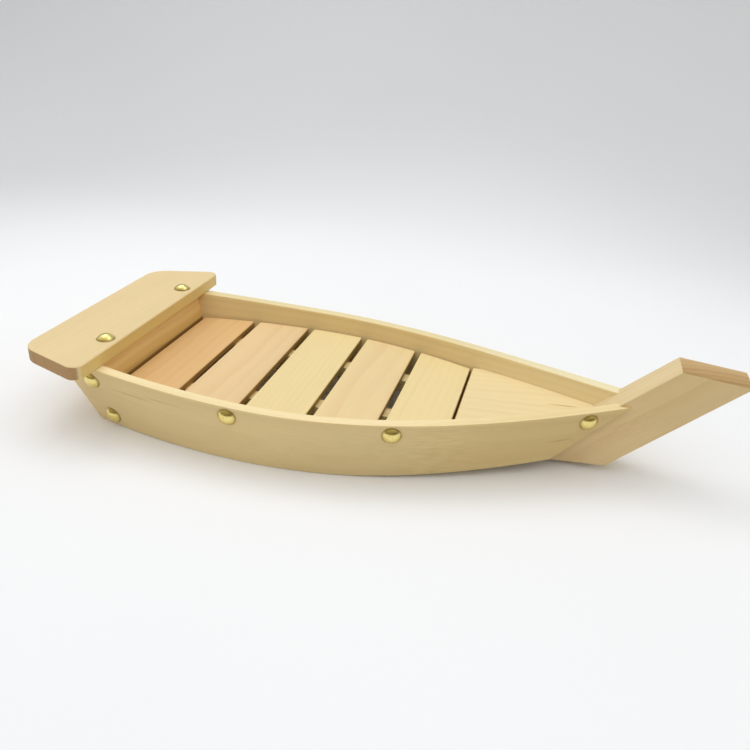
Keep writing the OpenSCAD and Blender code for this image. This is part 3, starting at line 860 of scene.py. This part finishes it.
class BOAT_OT_slats(bpy.types.Operator):
    """Five slats of the grate, with their ends cut to the planks' curve"""
    bl_idname = "serving_boat.slats"
    bl_label = "Deck slats"
    points = (10, 60, 4)
    # Tone, way to the heart of the log, width and strength of the rings, and tint of the painted shade on the
    # long edges that look into the gaps
    looks = [("slat_red", (0.3, 0.05, 0.06), 0.0042, 0.2, (0.55, 0.46, 0.26)),
             ("slat_pink", (0.7, 0.035, 0.07), 0.005, 0.16, (0.48, 0.38, 0.16)),
             ("slat_straw", (1.1, 0.08, 0.03), 0.0036, 0.1, (0.42, 0.33, 0.14)),
             ("slat_cream", (1.6, 0.04, 0.09), 0.0055, 0.16, (0.4, 0.31, 0.13)),
             ("slat_straw", (2.1, 0.07, 0.05), 0.004, 0.1, (0.2, 0.15, 0.07))]
    grime_reach = (1.0, 0.0009, 1.0)

    def execute(self, context):
        tones = context.scene.boat_tones
        boards = context.scene.boat_boards
        # Each slat sets the first three for itself
        own_sizes = {"aft": 0.0, "fore": 0.0, "half_length": 0.0, "end_gap": boards.slat_end_gap}
        grower = Grower("Deck slat", own_sizes, self.points)
        shape, given = grower.hull, grower.given
        across, along, upward = grower.shares
        x = between(given["aft"], given["fore"], across)
        z = (upward - 1.0) * shape.slat_thick
        half = shape.inner(x, -shape.slat_thick) - given["end_gap"]
        board = within((along, across, upward),
                       (given["half_length"], (given["fore"] - given["aft"]) / 2.0, shape.slat_thick / 2.0))
        grower.close(board, (x, (along - 0.5) * 2.0 * half, z))
        for name, (tone_name, heart, ring_width, rings, edge_tint) in zip(SLATS, self.looks):
            low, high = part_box(name)
            half = half_of(name, (1, 0, 2))
            marks = []
            # The last slat gets painted shade along its fore top edge, at the joint with the bow deck
            if name == SLATS[-1]:
                marks.append(streak((0, half[1], half[2]), self.grime_reach, JOINT_SHADE))
            finish = wood(name + "_wood", getattr(tones, tone_name), tones.slat_late, half, heart,
                          ring_width=ring_width, rings=rings, side_tone=edge_tint, marks=marks)
            grower.make(name, "deck", "slat_wood", boards.slat_edge, finish, half_length=half[0],
                        aft=low.x - TRANSOM_X, fore=high.x - TRANSOM_X)
        return {"FINISHED"}


class BOAT_OT_bow_deck(bpy.types.Operator):
    """Fixed deck in the bow that rises to the stem"""
    bl_idname = "serving_boat.bow_deck"
    bl_label = "Bow deck"
    points = (46, 24, 4)
    heart = (2.6, 0.05, 0.06)
    # Tint of painted shade on the faces that look fore and aft
    edge_tint = (0.8, 0.72, 0.58)
    # Length of a cut corner along the boat, as a multiple of its width
    corner_run = 2.0
    knot_station = 0.26
    knot_across = 0.0038
    knot_reach = (0.011, 0.0011, 0.005)
    knot_tint = (0.72, 0.62, 0.5)
    grime_reach = (0.0008, 1.0, 0.0014)

    def execute(self, context):
        tones = context.scene.boat_tones
        boards = context.scene.boat_boards
        low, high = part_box("bow_deck")
        aft, end = low.x - TRANSOM_X, high.x - TRANSOM_X
        own_sizes = {"aft": aft, "tip": end - boards.tip_housing, "housing": boards.tip_housing,
                     "glue": boards.glue_line, "corner": boards.bow_deck_corner,
                     "thick": boards.bow_deck_thick, "step": boards.bow_deck_step,
                     "rise": boards.bow_deck_rise}
        grower = Grower("Bow deck", own_sizes, self.points)
        given = grower.given
        along, across, upward = grower.shares
        x = between(given["aft"], given["tip"] + given["housing"], along)
        ahead = x - given["aft"]
        surface = between(given["step"], given["rise"], ahead / (given["tip"] - given["aft"]))
        z = surface - (1.0 - upward) * given["thick"]
        cut = given["corner"] - smaller(ahead / self.corner_run, given["corner"])
        half = grower.hull.inner(x, z) - given["glue"] - cut
        long_half, wide_half = half_of("bow_deck", (0, 1))
        board = within((along, across, upward), (long_half, half, given["thick"] / 2.0))
        grower.close(board, (x, board[1], z))
        top = boards.bow_deck_thick / 2
        knot = (self.knot_station - (aft + end) / 2, self.knot_across, top)
        # The knot is the wood's own mark; the second streak is painted shade along the aft top edge, at the
        # joint with the last slat
        marks = [streak(knot, self.knot_reach, self.knot_tint),
                 streak((-long_half, 0, top), self.grime_reach, JOINT_SHADE)]
        finish = wood("bow_deck_wood", tones.bow_deck, tones.slat_late, (long_half, wide_half, top),
                      self.heart, ring_width=0.0046, rings=0.12, fibre=(1, 0, 0),
                      side_tone=self.edge_tint, marks=marks)
        grower.make("bow_deck", "hull", "slat_wood", boards.eased_edge, finish)
        return {"FINISHED"}


def transom_depth(boards, hull):
    """Thickness of the leaning transom, measured level along the boat."""
    return boards.transom_thick * math.sqrt(1 + hull.transom_run ** 2)


class BOAT_OT_transom(bpy.types.Operator):
    """Transom that leans aft between the planks and carries the stern plate"""
    bl_idname = "serving_boat.transom"
    bl_label = "Transom"
    points = (4, 48, 12)
    heart = (3.1, 0.05, 0.03)
    # Heights above the slats' upper faces: where the broad painted shade and the darker painted shade in the
    # joint are full, and where each of them ends
    foot = -0.001
    shade_top = 0.012
    shade_tint = (0.78, 0.68, 0.46)
    grime_top = 0.0006

    def execute(self, context):
        tones = context.scene.boat_tones
        boards = context.scene.boat_boards
        low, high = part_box("transom")
        depth = transom_depth(boards, Hull(line_sizes()))
        own_sizes = {"low": low.z - DECK_Z, "high": high.z - DECK_Z, "depth": depth, "glue": boards.glue_line}
        grower = Grower("Transom", own_sizes, self.points)
        given = grower.given
        through, along, upward = grower.shares
        z = between(given["low"], given["high"], upward)
        x = grower.hull.transom_fore(z) - (1.0 - through) * given["depth"]
        half = grower.hull.inner(x, z) - given["glue"]
        long_half, tall_half = half_of("transom", (1, 2))
        board = within((along, upward, through), (long_half, tall_half, given["depth"] / 2.0))
        grower.close(board, (x, (along - 0.5) * 2.0 * half, z))
        marks = [low_shade(DECK_Z + self.foot, DECK_Z + self.shade_top, self.shade_tint),
                 low_shade(DECK_Z + self.foot, DECK_Z + self.grime_top, JOINT_SHADE)]
        finish = wood("transom_wood", tones.transom, tones.transom_late, (long_half, tall_half, depth / 2),
                      self.heart, ring_width=0.0042, rings=0.25, fibres=0.1, clouds=0.16, marks=marks)
        grower.make("transom", "hull", "inner_wood", boards.eased_edge / 2, finish)
        return {"FINISHED"}


class BOAT_OT_plate(bpy.types.Operator):
    """Stern plate that overhangs the hull, with rounded corners"""
    bl_idname = "serving_boat.plate"
    bl_label = "Stern plate"
    corner_steps = 10
    heart = (3.7, 0.08, 0.03)
    end_tint = (0.54, 0.43, 0.35)
    # Tint of painted shade on the plate's front and rear edges
    edge_tint = (0.95, 0.9, 0.62)

    def corner(self, centre, radius, start, end):
        """Points on one rounded corner, between two directions in the plane of the plate."""
        angles = [between(start, end, step / self.corner_steps) for step in range(self.corner_steps + 1)]
        return [(centre[0] + radius * math.cos(a), centre[1] + radius * math.sin(a)) for a in angles]

    def outline(self, boards, low, high):
        """Corners of the plate's outline, the port half first and then its mirror image."""
        slant = (boards.plate_front_half - boards.plate_rear_half) / (high.x - low.x)
        front, rear = boards.plate_front_corner, boards.plate_rear_corner
        front_centre = (high.x - front, boards.plate_front_half - front * (1 + slant))
        rear_centre = (low.x + rear, boards.plate_rear_half + rear * (slant - 1))
        run, rise = rear_centre[0] - front_centre[0], rear_centre[1] - front_centre[1]
        span = math.hypot(run, rise)
        # Direction in which the straight side between the two round corners faces
        side = math.atan2(rise, run) % (2 * math.pi) - math.acos((front - rear) / span)
        port = self.corner(front_centre, front, 0.0, side) + self.corner(rear_centre, rear, side, math.pi)
        return port + [(x, -y) for x, y in reversed(port)]

    def execute(self, context):
        tones = context.scene.boat_tones
        boards = context.scene.boat_boards
        low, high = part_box("stern_plate")
        shape = bmesh.new()
        corners = [shape.verts.new((x, y, low.z)) for x, y in self.outline(boards, low, high)]
        lifted = bmesh.ops.extrude_face_region(shape, geom=[shape.faces.new(corners)])["geom"]
        top = [vertex for vertex in lifted if isinstance(vertex, bmesh.types.BMVert)]
        bmesh.ops.translate(shape, verts=top, vec=(0, 0, high.z - low.z))
        bmesh.ops.recalc_face_normals(shape, faces=shape.faces)
        mesh = smooth_mesh("stern_plate_board", shape)
        centre = (low + high) / 2
        set_board(mesh, lambda co: (co.y, co.x - centre.x, co.z - centre.z))
        mesh.materials.append(wood(
            "stern_plate_wood", tones.plate, tones.plate_late, half_of("stern_plate", (1, 0, 2)), self.heart,
            ring_width=0.0042, rings=0.11, end_tone=self.end_tint, side_tone=self.edge_tint))
        piece = ease(new_object("stern_plate_board", mesh), boards.plate_edge, turn=50, segments=4)
        seat(piece, "hull", "plank_wood", "stern_plate")
        return {"FINISHED"}


class BOAT_OT_stem(bpy.types.Operator):
    """Raked stem with its rabbets, sanded at the edges"""
    bl_idname = "serving_boat.stem"
    bl_label = "Stem post"
    merge = 0.00002
    flat_turn = math.radians(1.2)
    heart = (4.3, 0.03, 0.08)
    end_tint = (0.66, 0.57, 0.45)
    # Tint of painted light on the faces that look up aft and down forward
    top_tint = (1.03, 1.1, 1.19)
    # Painted shade on the upper part of the starboard face: place along the stem, reach and tint
    dark_place = 0.06
    dark_reach = (0.09, 0.2, 0.006)
    dark_tint = (0.9, 0.9, 0.86)

    def execute(self, context):
        tones = context.scene.boat_tones
        boards = context.scene.boat_boards
        low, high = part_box("stem_post")
        shape = bmesh.new()
        shape.from_mesh(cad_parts["stem_post"].data)
        bmesh.ops.remove_doubles(shape, verts=shape.verts, dist=self.merge)
        bmesh.ops.dissolve_limit(shape, angle_limit=self.flat_turn, verts=shape.verts, edges=shape.edges)
        mesh = smooth_mesh("stem_post_board", shape)
        centre = (low + high) / 2
        rake = context.scene.boat_lines.stem_rake
        turn = Matrix.Rotation(rake, 3, "Y")

        def along_rake(point):
            x, y, z = turn @ (point - centre)
            return x, z, y

        set_board(mesh, along_rake)
        reach = [along_rake(vertex.co) for vertex in mesh.vertices]
        half = tuple(max(abs(point[axis]) for point in reach) for axis in range(3))
        mesh.materials.clear()
        mesh.materials.append(wood(
            "stem_wood", tones.stem, tones.stem_late, half, self.heart, ring_width=0.0048, rings=0.16,
            end_tone=self.end_tint, fibre=(math.cos(rake), 0, math.sin(rake)),
            side=(-math.sin(rake), 0, math.cos(rake)), side_tone=self.top_tint,
            marks=[streak((self.dark_place, 0, -half[2]), self.dark_reach, self.dark_tint)]))
        piece = ease(new_object("stem_post_board", mesh), boards.eased_edge, turn=40)
        seat(piece, "hull", "stem_wood", "stem_post")
        return {"FINISHED"}


def sawn_wood(name, pale, late, heart, rings, lengthwise):
    """Sawn wood for a node that stays as the frame has it, with its fibres along or across the boat."""
    if lengthwise:
        order, turn, fibre = (0, 1, 2), 0.0, (1, 0, 0)
    else:
        order, turn, fibre = (1, 0, 2), math.pi / 2, (0, 1, 0)
    low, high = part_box(name)
    return wood(name + "_wood", pale, late, half_of(name, order), heart, rings=rings, fibres=0.14, clouds=0.2,
                fibre=fibre, turned=((low + high) / 2, (0, 0, turn)))


class BOAT_OT_inner_wood(bpy.types.Operator):
    """Finish of the ledges and the beam, which stay as the frame has them"""
    bl_idname = "serving_boat.inner_wood"
    bl_label = "Ledges and beam"

    def execute(self, context):
        tones = context.scene.boat_tones
        for number, name in enumerate(("aft_ledge", "fore_ledge", "bow_beam")):
            heart = (5.0 + number, 0.02, 0.016)
            finish = sawn_wood(name, tones.inner, tones.inner_late, heart, rings=0.3, lengthwise=False)
            dress(name, finish)
        return {"FINISHED"}


class BOAT_OT_battens(bpy.types.Operator):
    """Finish of the battens under the slats and of the brads that hold them"""
    bl_idname = "serving_boat.battens"
    bl_label = "Battens and brads"
    brad_gloss = 0.35

    def execute(self, context):
        tones = context.scene.boat_tones
        for number, name in enumerate(("batten_port", "batten_starboard")):
            heart = (8.0 + number, 0.02, 0.03)
            finish = sawn_wood(name, tones.slat_straw, tones.slat_late, heart, rings=0.2, lengthwise=True)
            dress(name, finish)
        dress("slat_brads", metal("brad_steel", tones.steel, tones.steel_aged, self.brad_gloss))
        return {"FINISHED"}


class BOAT_OT_tacks(bpy.types.Operator):
    """Brass tacks with domed heads, driven by hand along the planks, the transom and the stern plate"""
    bl_idname = "serving_boat.tacks"
    bl_label = "Brass tacks"
    turns = 40
    dome_steps = 12
    merge = 0.00001
    gloss = 0.19
    # Lip of the rim: its share of the metal's thickness, and its round and height as shares of itself
    lip_share = 1 / 3
    lip_round = 0.3
    lip_height = 1.1
    # Darkening of the rim, partly tarnished brass and partly painted shade, and the share of the dome's
    # height at which it ends
    tarnish = 0.8
    tarnish_top = 0.42

    def head_outline(self, sizes):
        """Half section of a tack, from the top of its dome round the rim to the point of its shank."""
        half = sizes.head / 2
        radius = (half ** 2 + sizes.dome ** 2) / (2 * sizes.dome)
        spread = math.asin(half / radius)
        sunk = radius - sizes.dome
        angles = [spread * step / self.dome_steps for step in range(self.dome_steps)]
        dome = [(radius * math.sin(a), radius * math.cos(a) - sunk) for a in angles]
        lip = sizes.metal * self.lip_share
        inner = half - lip * self.lip_round
        rim = [(inner, lip * self.lip_height), (half, lip / 2), (inner, 0.0)]
        hollow = half - sizes.metal
        shank = sizes.shank / 2
        under = sizes.dome - 2 * sizes.metal
        below = [(hollow, 0.0), (hollow / 2, under), (shank, under), (shank, -sizes.depth + sizes.shank),
                 (0.0, -sizes.depth)]
        return dome + rim + below

    def template(self, sizes):
        """One tack, turned about its axis, with its low places kept as an attribute for the darker rim:
        tarnished brass with painted shade.
        """
        shape = bmesh.new()
        line = [shape.verts.new((reach, 0, height)) for reach, height in self.head_outline(sizes)]
        edges = [shape.edges.new(pair) for pair in zip(line, line[1:])]
        bmesh.ops.spin(shape, geom=line + edges, cent=(0, 0, 0), axis=(0, 0, 1), angle=2 * math.pi,
                       steps=self.turns, use_merge=True)
        bmesh.ops.remove_doubles(shape, verts=shape.verts, dist=self.merge)
        bmesh.ops.recalc_face_normals(shape, faces=shape.faces)
        mesh = smooth_mesh("tack template", shape)
        low = mesh.attributes.new("low", "FLOAT", "POINT")
        for vertex, mark in zip(mesh.vertices, low.data):
            height = max(0.0, vertex.co.z) / (sizes.dome * self.tarnish_top)
            mark.value = max(0.0, 1.0 - height) * self.tarnish
        return new_object("tack template", mesh)

    def places(self, sizes, boards, hull):
        """Seat and outward direction of each tack."""
        front = hull.station(boards.stem_core / 2, 0.0)
        bow = hull.section_x(1.0, hull.sheer(front) - sizes.drop, front) - sizes.bow_in
        depth = transom_depth(boards, hull)

        def middle(z):
            return hull.transom_fore(z) - depth / 2

        on_face = [(x, hull.sheer(x) - sizes.drop) for x in (sizes.side_aft, sizes.side_fore, bow)]
        on_face += [(middle(z) + sizes.transom_ahead, z) for z in (sizes.transom_high, -sizes.transom_low)]
        plate_x = middle(PLATE_SEAT) + sizes.plate_ahead
        plate_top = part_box("stern_plate")[1].z - DECK_Z
        found = []
        for side in (PORT, STARBOARD):
            for x, z in on_face:
                out = hull.out_of_face(side, x, z)
                found.append((placed(x, side * hull.outer(x, z), z) + out * sizes.seat, out))
            on_plate = placed(plate_x, side * sizes.plate_out, plate_top + sizes.seat)
            found.append((on_plate, Vector((0, 0, 1))))
        return found

    def tree(self, sizes):
        """Tree that sets a copy of the tack on each point, turned outwards, with a small chance lean."""
        web, entry, slots = new_tree("Brass tacks", [
            ("Geometry", "Geometry", None), ("Tack", "Object", None), ("Lean", "Float", sizes.lean),
            ("Seed", "Int", sizes.seed), ("Finish", "Material", None)])
        given = entry.outputs
        tack = web.add("GeometryNodeObjectInfo", {"Object": given["Tack"]})
        aim = web.add("GeometryNodeInputNamedAttribute", {"Name": "aim"}, data_type="FLOAT_VECTOR")
        face = web.add("FunctionNodeAlignRotationToVector", {"Vector": aim.outputs["Attribute"]}, axis="Z")
        back = web.math("MULTIPLY", given["Lean"], -1.0)
        chance = web.add("FunctionNodeRandomValue",
                         {"Min": web.whole(back, back, -math.pi),
                          "Max": web.whole(given["Lean"], given["Lean"], math.pi), "Seed": given["Seed"]},
                         data_type="FLOAT_VECTOR")
        tilt = web.add("FunctionNodeEulerToRotation", {"Euler": chance.outputs["Value"]})
        turn = web.add("FunctionNodeRotateRotation",
                       {"Rotation": face.outputs["Rotation"], "Rotate By": tilt.outputs["Rotation"]},
                       rotation_space="LOCAL")
        copies = web.add("GeometryNodeInstanceOnPoints",
                         {"Points": given["Geometry"], "Instance": tack.outputs["Geometry"],
                          "Rotation": turn.outputs["Rotation"]})
        end_tree(web, entry, copies.outputs["Instances"])
        return web.tree, slots

    def execute(self, context):
        tones = context.scene.boat_tones
        sizes = context.scene.boat_tacks
        template = self.template(sizes)
        found = self.places(sizes, context.scene.boat_boards, Hull(line_sizes()))
        points = bpy.data.meshes.new("tack places")
        points.from_pydata([place for place, _ in found], [], [])
        aim = points.attributes.new("aim", "FLOAT_VECTOR", "POINT")
        aim.data.foreach_set("vector", [part for _, out in found for part in out])
        tree, slots = self.tree(sizes)
        finish = metal("tack_brass", tones.brass, tones.brass_aged, self.gloss, "low")
        values = {"Tack": template, "Lean": sizes.lean, "Seed": sizes.seed, "Finish": finish}
        piece = grown("brass_tacks", tree, slots, values, points)
        bpy.data.objects.remove(template)
        seat(piece, "hull", "tack_brass", "plate_tacks", "transom_tacks", "side_tacks")
        return {"FINISHED"}


class BOAT_OT_stage(bpy.types.Operator):
    """Pale floor, soft light from above and the camera"""
    bl_idname = "serving_boat.stage"
    bl_label = "Stage"
    floor_half = 6.0
    floor_drop = 0.0002
    floor_rough = 0.85
    floor_specular = 0.1
    sweep_start = 0.42
    sweep_radius = 0.55
    sweep_steps = 32
    wall_top = 1.3
    # Faint clouds in the floor's colour: scale, limits of the noise and least share
    cloud_scale = 3.0
    cloud_limits = (0.3, 0.7)
    cloud_least = 0.985
    # Painted light: the floor's colour darkens sideways, backwards and up from its bright spot, as a pool of
    # light falls off, and not towards the camera
    bright_spot = (-0.04, -0.15, 0)
    fall_shape = (1.1, 1, 1)
    fall_least = (-10, 0, 0)
    fall_off = (0.42, 0.95)
    far_share = 0.74
    left_place = (-0.5, 0.35, 1.15)
    right_place = (0.45, 0.3, 1.15)
    lamp_sides = (0.9, 0.63)
    # Parts of a direction over which the sky changes from side to side, upwards and to the camera's side
    sky_across = (-0.9, 0.9)
    sky_upward = (0.05, 0.95)
    sky_front = (-0.75, 0.15)
    sensor = 36.0
    nearest = 0.01

    def execute(self, context):
        light = context.scene.boat_stage
        self.floor(context.scene.boat_tones.floor)
        self.lamp("left_softbox", self.left_place, light.left_power)
        self.lamp("right_softbox", self.right_place, light.right_power)
        self.sky(context.scene, light)
        self.camera(context.scene, light)
        context.scene.view_settings.view_transform = "Standard"
        return {"FINISHED"}

    def floor(self, colour):
        """Floor that sweeps up behind the boat into a low wall."""
        turns = [math.pi / 2 * step / self.sweep_steps for step in range(self.sweep_steps + 1)]
        sweep = [(self.sweep_start + self.sweep_radius * math.sin(turn),
                  self.sweep_radius * (1 - math.cos(turn))) for turn in turns]
        profile = [(-self.floor_half, 0.0), *sweep, (sweep[-1][0], self.wall_top)]
        sides = (-self.floor_half, self.floor_half)
        points = [(x, y, z - self.floor_drop) for y, z in profile for x in sides]
        strips = [(2 * n, 2 * n + 1, 2 * n + 3, 2 * n + 2) for n in range(len(profile) - 1)]
        mesh = bpy.data.meshes.new("floor")
        mesh.from_pydata(points, [], strips)
        mesh.shade_smooth()
        material, web, shader = new_material("pale_floor")
        place = web.coordinate("Object")
        faint = web.noise(place, self.cloud_scale, detail=2.0)
        faint = web.ramp(faint, *self.cloud_limits, self.cloud_least, 1.0)
        away = web.vector("MULTIPLY", web.vector("SUBTRACT", place, self.bright_spot), self.fall_shape)
        away = web.vector("LENGTH", web.vector("MAXIMUM", away, self.fall_least))
        fall = web.ramp(away, *self.fall_off, 1.0, self.far_share)
        share = web.math("MULTIPLY", faint, fall)
        web.put(shader.inputs["Base Color"], web.mix(1.0, (*colour, 1), share, "MULTIPLY"))
        shader.inputs["Roughness"].default_value = self.floor_rough
        shader.inputs["Specular IOR Level"].default_value = self.floor_specular
        mesh.materials.append(material)
        new_object("floor", mesh)

    def lamp(self, name, place, power):
        """Soft overhead lamp that looks at the boat."""
        lamp = bpy.data.lights.new(name, "AREA")
        lamp.shape = "RECTANGLE"
        lamp.size, lamp.size_y = self.lamp_sides
        lamp.energy = power
        holder = new_object(name, lamp)
        holder.location = place
        holder.rotation_euler = Vector(place).to_track_quat("Z", "Y").to_euler()

    def sky(self, scene, light):
        """Sky, brighter overhead and on the left, whose front gloss mirrors dimmer and warmer."""
        world = bpy.data.worlds.new("soft sky")
        scene.world = world
        world.use_nodes = True
        web = Web(world.node_tree)
        shade = world.node_tree.nodes["Background"]
        across, ahead, height = web.parts(web.coordinate("Generated"))
        low = web.ramp(across, *self.sky_across, light.left_sky, light.right_sky)
        strength = web.ramp(height, *self.sky_upward, low, light.zenith)
        path = web.add("ShaderNodeLightPath").outputs
        front = web.math("MULTIPLY", path["Is Glossy Ray"], web.ramp(ahead, *self.sky_front, 1.0, 0.0))
        dim = web.math("MULTIPLY_ADD", front, light.mirrored_front - 1.0, 1.0)
        lit = web.math("MULTIPLY", strength, dim)
        web.put(shade.inputs["Color"], web.mix(front, (1, 1, 1, 1), (*light.mirrored_tone, 1)))
        web.put(shade.inputs["Strength"], web.ramp(path["Is Camera Ray"], 0.0, 1.0, lit, light.seen_sky))

    def camera(self, scene, light):
        """Camera at the photograph's viewing angle."""
        level = math.cos(light.pitch)
        ahead = Vector((math.sin(light.yaw) * level, math.cos(light.yaw) * level, -math.sin(light.pitch)))
        right = Vector((math.cos(light.yaw), -math.sin(light.yaw), 0))
        down = ahead.cross(right)
        across = math.cos(light.roll) * right + math.sin(light.roll) * down
        lower = math.cos(light.roll) * down - math.sin(light.roll) * right
        view = bpy.data.cameras.new("view")
        view.sensor_width = self.sensor
        view.lens = light.focal / IMAGE_SIDE * self.sensor
        view.clip_start = self.nearest
        holder = new_object("view", view)
        turn = Matrix((across, -lower, -ahead)).transposed().to_4x4()
        holder.matrix_world = Matrix.Translation(placed(*light.place)) @ turn
        scene.camera = holder


OPERATORS = (BOAT_OT_stage, BOAT_OT_planks, BOAT_OT_transom, BOAT_OT_plate, BOAT_OT_stem, BOAT_OT_slats,
             BOAT_OT_bow_deck, BOAT_OT_inner_wood, BOAT_OT_battens, BOAT_OT_tacks)


class BOAT_PT_panel(bpy.types.Panel):
    """Lists the steps that make the serving boat"""
    bl_idname = "BOAT_PT_panel"
    bl_label = "Serving Boat"
    bl_space_type = "VIEW_3D"
    bl_region_type = "UI"
    bl_category = "Serving Boat"

    def draw(self, context):
        for operator in OPERATORS:
            self.layout.operator(operator.bl_idname)


GROUPS = {"boat_lines": HullLines, "boat_boards": BoardSizes, "boat_tacks": TackSizes,
          "boat_tones": WoodTones, "boat_stage": StageLight}
CLASSES = (*GROUPS.values(), *OPERATORS, BOAT_PT_panel)


def register():
    for kind in CLASSES:
        bpy.utils.register_class(kind)
    for name, kind in GROUPS.items():
        setattr(bpy.types.Scene, name, bpy.props.PointerProperty(type=kind))


def unregister():
    for name in GROUPS:
        delattr(bpy.types.Scene, name)
    for kind in reversed(CLASSES):
        bpy.utils.unregister_class(kind)


def main():
    register()
    for operator in OPERATORS:
        family, step = operator.bl_idname.split(".")
        getattr(getattr(bpy.ops, family), step)()


if __name__ == "__main__":
    main()
